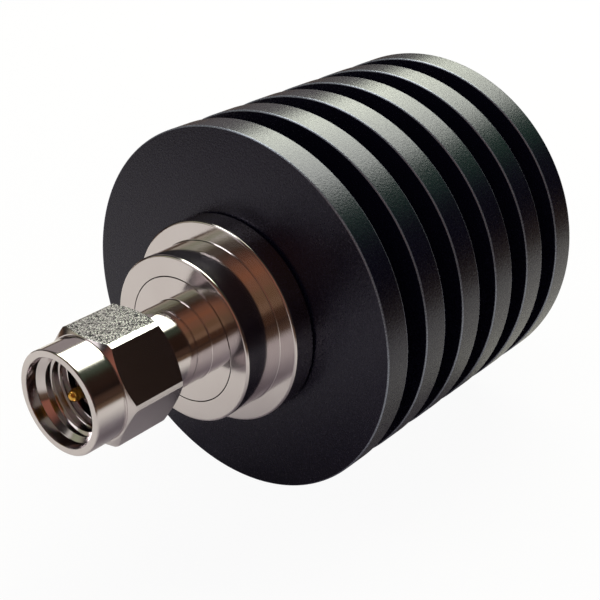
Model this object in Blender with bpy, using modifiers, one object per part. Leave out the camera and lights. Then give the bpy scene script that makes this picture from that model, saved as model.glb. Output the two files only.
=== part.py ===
"""Coaxial attenuator: SMA plug, stepped caps, turned heat sink and SMA jack.

Metres. The axis is X: the plug points to -X, the jack to +X, and x = 0 is the plug's
reference plane. +Z is up.
"""
import bpy
import bmesh
from math import cos, sin, tan, pi, radians, sqrt

# Clearances
seat_gap = 0.00015
seam = 0.00010
wire_gap = 0.00006
rest_gap = 0.00030

# 1/4-36 thread of both connectors
thread_major_r = 0.003175
thread_pitch = 0.0254 / 36
thread_depth = 0.54 * thread_pitch
thread_steps = 16

# Coaxial line: centre conductor, dielectric and the thin outer sleeve round it
pin_tip_r = 0.000465
pin_r = 0.000635
dielectric_r = 0.00200
sleeve_wall = 0.00024
pin_reach = 0.0023
sleeve_length = 0.0022

# Coupling nut
hex_across_flats = 0.0080
hex_corner_r = 0.00445
hex_chamfer = radians(30)
hex_turn = radians(0.6)
skirt_r = 0.00386
nut_overhang = 0.0033
skirt_length = 0.00255
hex_length = 0.00495
counterbore_r = 0.00330
counterbore_depth = 0.00085
nut_relief_r = 0.00322
nut_rear_wall = 0.00055
nut_relief_length = 0.00205

# Plug body
neck_r = 0.00262
ring_groove_r = 0.00238
ring_thickness = 0.00050
ring_radial = 0.00055
ring_slot = radians(30)
gasket_thickness = 0.00045
barrel_r = 0.00315
barrel_length = 0.0038
disc_r = 0.00488
disc_thickness = 0.0015
spigot_r = 0.00360
spigot_length = 0.0067

# Stepped caps
hub_r = 0.00653
hub_length = 0.00350
flange_r = 0.00802
flange_thickness = 0.00195
cap_spigot_r = 0.00635
cap_spigot_length = 0.0040
cap_edge = 0.00015
line_edge = 0.00008

# Heat sink
fin_r = 0.01460
fin_root_r = 0.00900
fin_count = 6
fin_thickness = 0.00240
groove_width = 0.00237
fin_edge = 0.00030
bore_edge = 0.00040

# Attenuator element
chip_length = 0.0100
chip_width = 0.0032
chip_thickness = 0.000635
channel_height = 0.0015
tab_width = 0.0011
tab_thickness = 0.00010
tab_overlap = 0.0006
conductor_reach = 0.0022
conductor_flat = 0.0010
bead_thickness = 0.0011

# Cover screws, as shares of the land between the channel and the bore
screw_place_share = 0.337
screw_head_share = 0.304
screw_shank_share = 0.174
screw_reach_share = 0.652
screw_floor_share = 0.289
screw_spread = 0.68
screw_head_aspect = 0.68
screw_key_share = 0.46
screw_key_depth_share = 0.58

# Jack
jack_thread_length = 0.0070
jack_relief_length = 0.0010
jack_relief_r = 0.00272
jack_mouth_r = 0.00232
jack_mouth_depth = 0.0019
socket_depth = 0.0032
finger_slot = 0.00022
finger_length = 0.0026

round_steps = 48
small_steps = 32
nut_steps = 36
jack_steps = 24
wire_steps = 16

# Places along the axis
nut_front = -nut_overhang
nut_back = nut_front + skirt_length + hex_length
cap_face = nut_back + rest_gap + barrel_length
sleeve_r = dielectric_r + wire_gap + sleeve_wall
bore_r = dielectric_r + wire_gap
pin_bore_r = pin_r + wire_gap
cap_bore_r = spigot_r + seam
sink_front = cap_face + hub_length + flange_thickness + seat_gap
sink_length = fin_count * fin_thickness + (fin_count - 1) * groove_width
sink_back = sink_front + sink_length
sink_bore_r = cap_spigot_r + seat_gap
middle = (sink_front + sink_back) / 2
cap_inner_end = sink_front + cap_spigot_length
spigot_end = cap_face + disc_thickness + spigot_length
bead_start = spigot_end + seat_gap
carrier_start = cap_inner_end + rest_gap
carrier_length = 2 * (middle - carrier_start)
conductor_end = carrier_start + conductor_reach
jack_face = 2 * middle - cap_face
jack_end = jack_face + jack_relief_length + jack_thread_length
jack_plane = jack_end - jack_mouth_depth
chip_top = -0.00010
half_gap = seat_gap / 2
channel_half = chip_width / 2 + seat_gap
channel_floor = chip_top - chip_thickness - seat_gap
screw_land = cap_spigot_r - channel_half
screw_y = channel_half + screw_place_share * screw_land
screw_x = screw_spread * carrier_length / 2
screw_r = screw_shank_share * screw_land
screw_reach = screw_reach_share * screw_land
screw_head_r = screw_head_share * screw_land
screw_head_height = screw_head_aspect * screw_head_r
screw_head_floor = channel_height + screw_floor_share * (cap_spigot_r - channel_height)
screw_key_r = screw_key_share * screw_head_r
screw_key_depth = screw_key_depth_share * screw_head_height

for old in list(bpy.data.objects):
    bpy.data.objects.remove(old, do_unlink=True)

model = bpy.data.collections.new("coaxial_attenuator")
cutters = bpy.data.collections.new("cutters")
bpy.context.scene.collection.children.link(model)
bpy.context.scene.collection.children.link(cutters)

# Every turned piece is drawn upright along Z and laid along X by this empty
axis = bpy.data.objects.new("axis", None)
axis.rotation_euler = (0, pi / 2, 0)
model.objects.link(axis)


def finish(name, colour, metallic, roughness):
    mat = bpy.data.materials.new(name)
    mat.use_nodes = True
    shader = mat.node_tree.nodes["Principled BSDF"]
    shader.inputs["Base Color"].default_value = (*colour, 1.0)
    shader.inputs["Metallic"].default_value = metallic
    shader.inputs["Roughness"].default_value = roughness
    mat.diffuse_color = (*colour, 1.0)
    return mat


def place(obj, mat, parent=axis):
    if mat is None:
        cutters.objects.link(obj)
        obj.hide_render = True
        obj.display_type = 'WIRE'
    else:
        model.objects.link(obj)
        obj.data.materials.append(mat)
    obj.parent = parent
    return obj


def turned(name, outline, steps, mat=None, sweep=2 * pi):
    """Turn an outline of (x, r) points: outside from back to front, then the bore."""
    closed = outline[0][1] > 0
    verts = [(r, 0.0, x) for x, r in outline]
    edges = [(i, i + 1) for i in range(len(verts) - 1)]
    if closed:
        edges.append((len(verts) - 1, 0))
    mesh = bpy.data.meshes.new(name)
    mesh.from_pydata(verts, edges, [])
    obj = place(bpy.data.objects.new(name, mesh), mat)
    screw = obj.modifiers.new("turn", 'SCREW')
    screw.axis = 'Z'
    screw.angle = sweep
    screw.steps = steps
    screw.render_steps = steps
    screw.use_merge_vertices = True
    screw.merge_threshold = 0.00001
    screw.use_normal_calculate = False
    return obj


def box(name, low, high, mat=None):
    """Box between two corners, in world axes."""
    size = [b - a for a, b in zip(low, high)]
    centre = [(a + b) / 2 for a, b in zip(low, high)]
    mesh = bpy.data.meshes.new(name)
    bm = bmesh.new()
    bmesh.ops.create_cube(bm, size=1.0)
    bmesh.ops.scale(bm, vec=size, verts=bm.verts)
    bm.to_mesh(mesh)
    bm.free()
    obj = place(bpy.data.objects.new(name, mesh), mat, None)
    obj.location = centre
    return obj


def prism(name, sides, corner_r, first_angle, start, end, mat=None):
    """Upright prism whose corners start at an angle measured from +Y towards +Z."""
    mesh = bpy.data.meshes.new(name)
    bm = bmesh.new()
    ring = []
    for i in range(sides):
        a = first_angle + 2 * pi * i / sides
        ring.append(bm.verts.new((-corner_r * sin(a), corner_r * cos(a), start)))
    base = bm.faces.new(ring)
    top = bmesh.ops.extrude_face_region(bm, geom=[base])
    lifted = [v for v in top["geom"] if isinstance(v, bmesh.types.BMVert)]
    bmesh.ops.translate(bm, vec=(0, 0, end - start), verts=lifted)
    bmesh.ops.recalc_face_normals(bm, faces=bm.faces)
    bm.to_mesh(mesh)
    bm.free()
    return place(bpy.data.objects.new(name, mesh), mat)


def coil(name, inner_r, outer_r, inner_width, outer_width, start, end):
    """Closed coil of trapezoid section, one pitch per turn: the path of a threading tool."""
    turns = (end - start) / thread_pitch
    count = int(turns * thread_steps)
    mesh = bpy.data.meshes.new(name)
    bm = bmesh.new()
    section = [(inner_r, -inner_width / 2), (inner_r, inner_width / 2),
               (outer_r, outer_width / 2), (outer_r, -outer_width / 2)]
    rings = []
    for i in range(count + 1):
        a = 2 * pi * i / thread_steps
        z = start + thread_pitch * i / thread_steps
        rings.append([bm.verts.new((r * cos(a), r * sin(a), z + dz)) for r, dz in section])
    for one, two in zip(rings, rings[1:]):
        for i in range(4):
            j = (i + 1) % 4
            bm.faces.new((one[i], one[j], two[j], two[i]))
    bm.faces.new(rings[0])
    bm.faces.new(rings[-1])
    bmesh.ops.recalc_face_normals(bm, faces=bm.faces)
    bm.to_mesh(mesh)
    bm.free()
    return place(bpy.data.objects.new(name, mesh), None)


def cut(obj, tool, operation='DIFFERENCE'):
    mod = obj.modifiers.new(tool.name, 'BOOLEAN')
    mod.object = tool
    mod.operation = operation
    mod.solver = 'EXACT'
    return obj


def mirrored(outline):
    """The same outline for the jack end, mirrored about the heat sink's middle."""
    return [(2 * middle - x, r) for x, r in reversed(outline)]


nickel = (0.60, 0.56, 0.53)
gold = (0.78, 0.52, 0.18)

# Coupling nut: turned blank, milled to a hexagon, threaded
cone_start = hex_across_flats / 2 - 0.00004
chamfer_x = (hex_corner_r - cone_start) * tan(hex_chamfer)
hex_front = nut_front + skirt_length
minor_r = thread_major_r - thread_depth
relief_front = nut_back - nut_rear_wall - nut_relief_length
nut_bore_back = neck_r + seam
nut_outline = [
    (nut_back, cone_start),
    (nut_back - chamfer_x, hex_corner_r),
    (hex_front + chamfer_x, hex_corner_r),
    (hex_front, cone_start),
    (hex_front, skirt_r),
    (nut_front + 0.00012, skirt_r),
    (nut_front, skirt_r - 0.00010),
    (nut_front, counterbore_r + 0.00008),
    (nut_front + 0.00012, counterbore_r),
    (nut_front + counterbore_depth, counterbore_r),
    (nut_front + counterbore_depth + (counterbore_r - minor_r) * 0.8, minor_r),
    (relief_front, minor_r),
    (relief_front + (nut_relief_r - minor_r) * 0.6, nut_relief_r),
    (nut_back - nut_rear_wall, nut_relief_r),
    (nut_back - nut_rear_wall, nut_bore_back),
    (nut_back, nut_bore_back),
]
nut_mat = finish("nut_nickel", nickel, 1.0, 0.16)
nut = turned("coupling_nut", nut_outline, nut_steps, nut_mat)
hexagon = prism("nut_hexagon", 6, hex_across_flats / sqrt(3), hex_turn,
                nut_front - 0.001, nut_back + 0.001)
cut(nut, hexagon, 'INTERSECT')
root_width = thread_pitch / 8
flank = 2 * tan(radians(30))
nut_tool = coil("nut_thread_tool", minor_r - 0.0001, thread_major_r,
                root_width + flank * (thread_depth + 0.0001), root_width,
                nut_front + counterbore_depth - 0.0002, relief_front + thread_pitch)
cut(nut, nut_tool)

# Split ring that keeps the nut on the plug body, and the gasket in front of the shoulder
shoulder = sleeve_length + 0.0001
groove_start = shoulder + 0.00045
groove_length = ring_thickness + 2 * seam
ring_x = groove_start + seam
ring_inner = ring_groove_r + wire_gap
retaining_ring = turned("nut_retaining_ring", [
    (ring_x + ring_thickness, ring_inner + ring_radial),
    (ring_x, ring_inner + ring_radial),
    (ring_x, ring_inner),
    (ring_x + ring_thickness, ring_inner),
], small_steps, finish("ring_bronze", (0.52, 0.33, 0.16), 1.0, 0.35))
ring_gap_half = ring_inner * tan(ring_slot / 2)
cut(retaining_ring, box("ring_slot", (ring_x - ring_thickness, -ring_gap_half, -2 * ring_inner),
                        (ring_x + 2 * ring_thickness, ring_gap_half, 0.0)))

turned("nut_gasket", [
    (shoulder - seam, neck_r + 0.00003),
    (shoulder - seam - gasket_thickness, neck_r + 0.00003),
    (shoulder - seam - gasket_thickness, sleeve_r + wire_gap),
    (shoulder - seam, sleeve_r + wire_gap),
], small_steps, finish("gasket_silicone", (0.35, 0.04, 0.03), 0.0, 0.6))

# Plug body: sleeve, shoulder, ring groove, barrel, base disc and spigot
barrel_start = nut_back + rest_gap
plug_body_outline = [
    (spigot_end, spigot_r),
    (cap_face + disc_thickness, spigot_r),
    (cap_face + disc_thickness, disc_r),
    (cap_face + line_edge, disc_r),
    (cap_face, disc_r - line_edge),
    (cap_face, barrel_r),
    (barrel_start + 0.0001, barrel_r),
    (barrel_start, barrel_r - 0.0001),
    (barrel_start, neck_r),
    (groove_start + groove_length, neck_r),
    (groove_start + groove_length, ring_groove_r),
    (groove_start, ring_groove_r),
    (groove_start, neck_r),
    (shoulder, neck_r),
    (shoulder, sleeve_r),
    (0.0, sleeve_r),
    (0.0, bore_r),
    (spigot_end, bore_r),
]
turned("plug_body", plug_body_outline, small_steps,
       finish("plug_body_nickel", nickel, 1.0, 0.12))

turned("plug_dielectric", [
    (spigot_end, dielectric_r),
    (0.0, dielectric_r),
    (0.0, pin_bore_r),
    (spigot_end, pin_bore_r),
], wire_steps, finish("plug_ptfe", (0.86, 0.85, 0.80), 0.0, 0.45))

# Plug centre pin: rounded tip, shank, and a flat for the input tab
pin = turned("plug_centre_pin", [
    (conductor_end, 0.0),
    (conductor_end, pin_r),
    (0.0, pin_r),
    (0.0, pin_tip_r),
    (-pin_reach + 0.00042, pin_tip_r),
    (-pin_reach + 0.00018, pin_tip_r * 0.80),
    (-pin_reach + 0.00004, pin_tip_r * 0.48),
    (-pin_reach, pin_tip_r * 0.25),
    (-pin_reach, 0.0),
], wire_steps, finish("pin_gold", gold, 1.0, 0.20))
cut(pin, box("pin_flat", (conductor_end - conductor_flat, -0.002, 0.0),
             (conductor_end + 0.001, 0.002, 0.002)))

# Stepped caps
cap_outline = [
    (cap_inner_end, cap_spigot_r - cap_edge),
    (cap_inner_end - cap_edge, cap_spigot_r),
    (sink_front - seat_gap, cap_spigot_r),
    (sink_front - seat_gap, flange_r),
    (cap_face + hub_length + cap_edge, flange_r),
    (cap_face + hub_length, flange_r - cap_edge),
    (cap_face + hub_length, hub_r),
    (cap_face + cap_edge, hub_r),
    (cap_face, hub_r - cap_edge),
    (cap_face, disc_r + seam + line_edge),
    (cap_face + line_edge, disc_r + seam),
    (cap_face + disc_thickness + seam, disc_r + seam),
    (cap_face + disc_thickness + seam, cap_bore_r),
    (cap_inner_end, cap_bore_r),
]
turned("front_cap", cap_outline, round_steps,
       finish("front_cap_nickel", nickel, 1.0, 0.18))
turned("rear_cap", mirrored(cap_outline), round_steps,
       finish("rear_cap_nickel", nickel, 1.0, 0.18))

# Heat sink: six fins turned from one bar
fins = []
for i in reversed(range(fin_count)):
    front = sink_front + i * (fin_thickness + groove_width)
    back = front + fin_thickness
    if i < fin_count - 1:
        fins.append((back, fin_root_r))
    fins.append((back, fin_r - fin_edge))
    fins.append((back - fin_edge, fin_r))
    fins.append((front + fin_edge, fin_r))
    fins.append((front, fin_r - fin_edge))
    if i > 0:
        fins.append((front, fin_root_r))
sink_outline = [(sink_back, sink_bore_r + bore_edge)] + fins + [
    (sink_front, sink_bore_r + bore_edge),
    (sink_front + bore_edge, sink_bore_r),
    (sink_back - bore_edge, sink_bore_r),
]
turned("heat_sink", sink_outline, round_steps,
       finish("black_anodised", (0.018, 0.018, 0.020), 0.35, 0.42))

# Insulating beads between the plug or jack and the element
bead_outline = [
    (bead_start + bead_thickness, spigot_r),
    (bead_start, spigot_r),
    (bead_start, pin_bore_r),
    (bead_start + bead_thickness, pin_bore_r),
]
turned("front_bead", bead_outline, wire_steps,
       finish("front_bead_amber", (0.55, 0.28, 0.06), 0.0, 0.35))
turned("rear_bead", mirrored(bead_outline), wire_steps,
       finish("rear_bead_amber", (0.55, 0.28, 0.06), 0.0, 0.35))

# Split holder in the heat sink's bore
carrier_end = carrier_start + carrier_length
holder_outline = [
    (carrier_end, 0.0),
    (carrier_end, cap_spigot_r - cap_edge),
    (carrier_end - cap_edge, cap_spigot_r),
    (carrier_start + cap_edge, cap_spigot_r),
    (carrier_start, cap_spigot_r - cap_edge),
    (carrier_start, 0.0),
]
carrier = turned("element_carrier", holder_outline, small_steps,
                 finish("carrier_copper", (0.62, 0.32, 0.16), 1.0, 0.35))
cover = turned("element_cover", holder_outline, small_steps,
               finish("cover_copper", (0.62, 0.32, 0.16), 1.0, 0.35))
past = 0.002
cut(carrier, box("upper_half", (carrier_start - past, -0.02, -half_gap),
                 (carrier_end + past, 0.02, 0.02)))
cut(cover, box("lower_half", (carrier_start - past, -0.02, -0.02),
               (carrier_end + past, 0.02, half_gap)))
cut(carrier, box("carrier_channel", (carrier_start - past, -channel_half, channel_floor),
                 (carrier_end + past, channel_half, past)))
cut(cover, box("cover_channel", (carrier_start - past, -channel_half, -past),
               (carrier_end + past, channel_half, channel_height)))

screw_steel = finish("screw_steel", (0.45, 0.45, 0.46), 1.0, 0.30)
screw_places = [(-screw_x, -screw_y), (-screw_x, screw_y), (screw_x, -screw_y), (screw_x, screw_y)]


def upright(name, outline, x, y, steps, mat=None):
    """Turned piece that stands along Z at (x, y) instead of lying on the axis."""
    obj = turned(name, outline, steps, mat)
    obj.parent = None
    obj.location = (x, y, 0)
    return obj


for i, (dx, dy) in enumerate(screw_places):
    x = middle + dx
    hole = upright("screw_hole_%d" % (i + 1), [
        (cap_spigot_r + past, 0.0),
        (cap_spigot_r + past, screw_head_r + seat_gap),
        (screw_head_floor - seam, screw_head_r + seat_gap),
        (screw_head_floor - seam, screw_r + seam),
        (-screw_reach - seat_gap, screw_r + seam),
        (-screw_reach - seat_gap, 0.0),
    ], x, dy, wire_steps)
    cut(carrier, hole)
    cut(cover, hole)
    head_top = screw_head_floor + screw_head_height
    screw = upright("cover_screw_%d" % (i + 1), [
        (head_top, 0.0),
        (head_top, screw_head_r - 0.0001),
        (head_top - 0.0001, screw_head_r),
        (screw_head_floor, screw_head_r),
        (screw_head_floor, screw_r),
        (-screw_reach + 0.0002, screw_r),
        (-screw_reach, screw_r - 0.0002),
        (-screw_reach, 0.0),
    ], x, dy, 12, screw_steel)
    key = prism("screw_key_%d" % (i + 1), 6, screw_key_r, 0.0,
                head_top - screw_key_depth, head_top + 0.001)
    key.parent = None
    key.location = (x, dy, 0)
    cut(screw, key)

# Chip and its tabs
chip_start = middle - chip_length / 2
chip_end = middle + chip_length / 2
box("attenuator_chip", (chip_start, -chip_width / 2, chip_top - chip_thickness),
    (chip_end, chip_width / 2, chip_top),
    finish("chip_ceramic", (0.80, 0.79, 0.76), 0.0, 0.5))
tab_floor = wire_gap
box("input_tab", (conductor_end - conductor_flat + seam, -tab_width / 2, tab_floor),
    (chip_start + tab_overlap, tab_width / 2, tab_floor + tab_thickness),
    finish("input_tab_gold", gold, 1.0, 0.25))
box("output_tab", (chip_end - tab_overlap, -tab_width / 2, tab_floor),
    (2 * middle - conductor_end + conductor_flat - seam, tab_width / 2,
     tab_floor + tab_thickness),
    finish("output_tab_gold", gold, 1.0, 0.25))

# Jack: base disc, relief, 1/4-36 thread and the mouth that takes the plug's sleeve
jack_spigot_end = 2 * middle - spigot_end
jack = turned("jack_body", [
    (jack_end, thread_major_r - 0.0004),
    (jack_end - 0.0004, thread_major_r),
    (jack_face + jack_relief_length, thread_major_r),
    (jack_face + jack_relief_length - 0.0003, jack_relief_r),
    (jack_face, jack_relief_r),
    (jack_face, disc_r - line_edge),
    (jack_face - line_edge, disc_r),
    (jack_face - disc_thickness, disc_r),
    (jack_face - disc_thickness, spigot_r),
    (jack_spigot_end, spigot_r),
    (jack_spigot_end, bore_r),
    (jack_plane, bore_r),
    (jack_plane, jack_mouth_r),
    (jack_end - 0.0001, jack_mouth_r),
    (jack_end, jack_mouth_r + 0.0001),
], jack_steps, finish("jack_body_nickel", nickel, 1.0, 0.16))
jack_tool = coil("jack_thread_tool", thread_major_r - thread_depth, thread_major_r + 0.0001,
                 root_width, root_width + flank * (thread_depth + 0.0001),
                 jack_face + jack_relief_length - 0.0006, jack_end + thread_pitch)
cut(jack, jack_tool)

turned("jack_dielectric", [
    (jack_plane, dielectric_r),
    (jack_spigot_end, dielectric_r),
    (jack_spigot_end, pin_bore_r),
    (jack_plane, pin_bore_r),
], wire_steps, finish("jack_ptfe", (0.86, 0.85, 0.80), 0.0, 0.45))

# Jack centre contact: socket split into four spring fingers
contact_start = 2 * middle - conductor_end
contact = turned("jack_centre_contact", [
    (jack_plane - socket_depth, 0.0),
    (jack_plane - socket_depth, pin_tip_r + 0.00001),
    (jack_plane - 0.0001, pin_tip_r + 0.00001),
    (jack_plane, pin_tip_r + 0.00007),
    (jack_plane, pin_r),
    (contact_start, pin_r),
    (contact_start, 0.0),
], wire_steps, finish("contact_gold", gold, 1.0, 0.20))
cut(contact, box("finger_slot_upright",
                 (jack_plane - finger_length, -finger_slot / 2, -0.002),
                 (jack_plane + 0.001, finger_slot / 2, 0.002)))
cut(contact, box("finger_slot_level",
                 (jack_plane - finger_length, -0.002, -finger_slot / 2),
                 (jack_plane + 0.001, 0.002, finger_slot / 2)))
cut(contact, box("contact_flat", (contact_start - 0.001, -0.002, 0.0),
                 (contact_start + conductor_flat, 0.002, 0.002)))
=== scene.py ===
from math import acos, cos, pi, radians, sin, sqrt, tan

import bpy
from mathutils import Matrix, Vector


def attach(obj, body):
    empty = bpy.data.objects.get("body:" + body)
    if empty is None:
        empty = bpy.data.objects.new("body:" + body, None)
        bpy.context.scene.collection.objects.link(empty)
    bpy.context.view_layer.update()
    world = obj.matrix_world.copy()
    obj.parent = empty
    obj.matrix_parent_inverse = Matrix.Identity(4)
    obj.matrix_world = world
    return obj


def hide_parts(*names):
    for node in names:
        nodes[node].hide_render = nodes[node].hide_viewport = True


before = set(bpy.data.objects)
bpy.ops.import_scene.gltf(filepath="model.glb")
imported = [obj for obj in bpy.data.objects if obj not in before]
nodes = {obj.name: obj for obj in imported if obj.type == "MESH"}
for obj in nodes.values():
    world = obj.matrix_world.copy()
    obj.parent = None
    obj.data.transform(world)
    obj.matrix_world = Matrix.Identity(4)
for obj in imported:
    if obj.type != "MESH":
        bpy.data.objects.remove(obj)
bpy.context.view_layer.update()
mm = 0.001
print("frame loaded:", len(nodes), "nodes")


# colour and node helpers
def toLinear(hexColour):
    parts = [int(hexColour[i:i + 2], 16) / 255 for i in (1, 3, 5)]
    return tuple(c / 12.92 if c <= 0.04045 else ((c + 0.055) / 1.055) ** 2.4 for c in parts) + (1.0,)


def addNode(tree, kind, settings=None, inputs=None):
    node = tree.nodes.new(kind)
    for key, value in (settings or {}).items():
        setattr(node, key, value)
    for key, value in (inputs or {}).items():
        if isinstance(value, bpy.types.NodeSocket):
            tree.links.new(value, node.inputs[key])
        else:
            node.inputs[key].default_value = value
    return node


def emptyTree(owner):
    owner.use_nodes = True
    owner.node_tree.nodes.clear()
    return owner.node_tree


def newMaterial(name):
    mat = bpy.data.materials.new(name)
    tree = emptyTree(mat)
    shader = addNode(tree, "ShaderNodeBsdfPrincipled")
    out = addNode(tree, "ShaderNodeOutputMaterial")
    tree.links.new(shader.outputs[0], out.inputs[0])
    return mat, tree, shader


# what a ray is for, and whether the camera sees by it, straight on or through a clear piece
def rayKinds(tree):
    path = addNode(tree, "ShaderNodeLightPath")
    plain = addNode(tree, "ShaderNodeMath", {"operation": 'MAXIMUM'}, {
        0: path.outputs["Is Camera Ray"], 1: path.outputs["Is Transmission Ray"]})
    return path, plain


# where a point of a turned piece lies: its place, the parts of it, and its radius from the axis
def turnedPlace(tree):
    place = addNode(tree, "ShaderNodeTexCoord").outputs["Object"]
    parts = addNode(tree, "ShaderNodeSeparateXYZ", inputs={0: place})
    across = addNode(tree, "ShaderNodeVectorMath", {"operation": 'MULTIPLY'}, {0: place, 1: (0, 1, 1)})
    radius = addNode(tree, "ShaderNodeVectorMath", {"operation": 'LENGTH'}, {0: across.outputs[0]})
    return place, parts, radius.outputs[1]


# a direction: along is its share along the object's axis, phi turns round the axis from +Y towards +Z
def wayOut(along, phi):
    rim = sqrt(1 - along ** 2)
    return Vector((along, rim * cos(radians(phi)), rim * sin(radians(phi))))


# modelling helpers: points nearer to each other than these distances in metres are merged
merging = {"profile": 0.0000015, "milled": 0.000004, "cuts": 0.0000008}


def deselectAll():
    if bpy.context.object and bpy.context.object.mode != 'OBJECT':
        bpy.ops.object.mode_set(mode='OBJECT')
    bpy.ops.object.select_all(action='DESELECT')


def pick(piece):
    deselectAll()
    piece.select_set(True)
    bpy.context.view_layer.objects.active = piece


def rename(piece, name):
    piece.name = name
    piece.data.name = name
    return piece


def applyAll(piece):
    pick(piece)
    for mod in list(piece.modifiers):
        bpy.ops.object.modifier_apply(modifier=mod.name)


# rounds the corners of a profile: each corner is (x, r, rounding) in mm.
# A holding point close to each end of a rounding keeps the long faces beside it truly straight.
def softProfile(corners, steps=3, holdMm=0.03):
    count = len(corners)
    reaches = []
    for i, (x, r, soft) in enumerate(corners):
        here = Vector((x, r))
        before = (Vector(corners[i - 1][:2]) - here).normalized()
        after = (Vector(corners[(i + 1) % count][:2]) - here).normalized()
        half = acos(max(-1, min(1, before.dot(after)))) / 2
        reaches.append((here, before, after, half, soft / tan(half) if soft else 0.0))
    points = []
    for i, (here, before, after, half, reach) in enumerate(reaches):
        soft = corners[i][2]
        if not soft:
            points.append(here)
            continue
        start = here + before * reach
        end = here + after * reach
        centre = here + (before + after).normalized() * (soft / sin(half))
        a = start - centre
        b = end - centre
        whole = acos(max(-1, min(1, a.normalized().dot(b.normalized()))))
        arc = [centre + (a * sin((1 - k / steps) * whole) + b * sin(k / steps * whole)) / sin(whole)
               for k in range(steps + 1)]
        freeBefore = (here - reaches[i - 1][0]).length - reach - reaches[i - 1][4]
        freeAfter = (reaches[(i + 1) % count][0] - here).length - reach - reaches[(i + 1) % count][4]
        if freeBefore > 3 * holdMm:
            arc.insert(0, start + before * holdMm)
        if freeAfter > 3 * holdMm:
            arc.append(end + after * holdMm)
        points += arc
    return [(p.x * mm, p.y * mm) for p in points]


# like a lathe: a circle is drawn at the first point and pulled from point to point along the axis
def turnOnAxis(name, rings, segments, hollow=True):
    deselectAll()
    x, r = rings[0]
    bpy.ops.mesh.primitive_circle_add(vertices=segments, radius=r, location=(x, 0, 0),
                                      rotation=(0, pi / 2, 0))
    piece = rename(bpy.context.object, name)
    bpy.ops.object.transform_apply(location=True, rotation=True, scale=True)
    bpy.ops.object.mode_set(mode='EDIT')
    bpy.ops.mesh.select_all(action='SELECT')
    if not hollow:
        bpy.ops.mesh.edge_face_add()
        bpy.ops.mesh.select_mode(type='EDGE')
        bpy.ops.mesh.select_all(action='SELECT')
    path = rings + rings[:1] if hollow else rings
    for (x0, r0), (x1, r1) in zip(path, path[1:]):
        bpy.ops.mesh.extrude_edges_move(TRANSFORM_OT_translate={"value": (x1 - x0, 0, 0)})
        if abs(r1 - r0) > 1e-9:
            bpy.ops.transform.resize(value=(1, r1 / r0, r1 / r0), center_override=(x1, 0, 0))
    if not hollow:
        bpy.ops.mesh.edge_face_add()
    bpy.ops.mesh.select_all(action='SELECT')
    bpy.ops.mesh.remove_doubles(threshold=merging["profile"])
    bpy.ops.mesh.normals_make_consistent(inside=False)
    bpy.ops.object.mode_set(mode='OBJECT')
    return piece


# a trapezoid drawn below the axis and swept along a helix: the path of the threading tool
def threadCutter(name, lowR, highR, lowWidth, highWidth, start, turns, pitch, steps=72):
    deselectAll()
    middleR = (lowR + highR) / 2
    bpy.ops.mesh.primitive_plane_add(size=1, location=(0, 0, 0), rotation=(pi / 2, 0, 0))
    cutter = rename(bpy.context.object, name)
    bpy.ops.object.transform_apply(location=True, rotation=True, scale=True)
    bpy.ops.object.mode_set(mode='EDIT')
    bpy.ops.mesh.select_all(action='SELECT')
    bpy.ops.transform.resize(value=(lowWidth, 1, highR - lowR), center_override=(0, 0, 0))
    bpy.ops.transform.translate(value=(start, 0, -middleR))
    bpy.ops.mesh.select_all(action='DESELECT')
    bpy.ops.object.mode_set(mode='OBJECT')
    for v in cutter.data.vertices:
        v.select = v.co.z < -middleR
    bpy.ops.object.mode_set(mode='EDIT')
    bpy.ops.transform.resize(value=(highWidth / lowWidth, 1, 1), center_override=(start, 0, 0))
    bpy.ops.object.mode_set(mode='OBJECT')
    sweep = cutter.modifiers.new("helix", 'SCREW')
    sweep.axis = 'X'
    sweep.screw_offset = pitch
    sweep.iterations = turns
    sweep.steps = steps
    sweep.render_steps = steps
    sweep.use_smooth_shade = False
    applyAll(cutter)
    bpy.ops.object.mode_set(mode='EDIT')
    bpy.ops.mesh.select_all(action='SELECT')
    bpy.ops.mesh.remove_doubles(threshold=merging["profile"])
    bpy.ops.mesh.fill_holes(sides=4)
    bpy.ops.mesh.select_all(action='SELECT')
    bpy.ops.mesh.normals_make_consistent(inside=False)
    bpy.ops.object.mode_set(mode='OBJECT')
    return cutter


def carve(piece, tool, operation='DIFFERENCE'):
    mod = piece.modifiers.new(tool.name, 'BOOLEAN')
    mod.object = tool
    mod.operation = operation
    mod.solver = 'EXACT'
    applyAll(piece)
    bpy.data.objects.remove(tool, do_unlink=True)
    return piece


# takes a square block of the given size in mm out of a piece, as a mill or a saw does
def cutBlock(piece, name, size, place):
    deselectAll()
    bpy.ops.mesh.primitive_cube_add(size=1, location=[c * mm for c in place])
    block = rename(bpy.context.object, name)
    block.dimensions = [c * mm for c in size]
    bpy.ops.object.transform_apply(location=True, rotation=True, scale=True)
    return carve(piece, block)


# rounds the border of each milled flat and sets a narrow frame inside it, so the flat itself stays flat.
# A face is a flat if it lies at half the width across flats and is larger than the chamfers' slivers.
flatSearch = {"lean": 0.01, "near": 0.00001, "leastArea": 0.000002}


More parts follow.
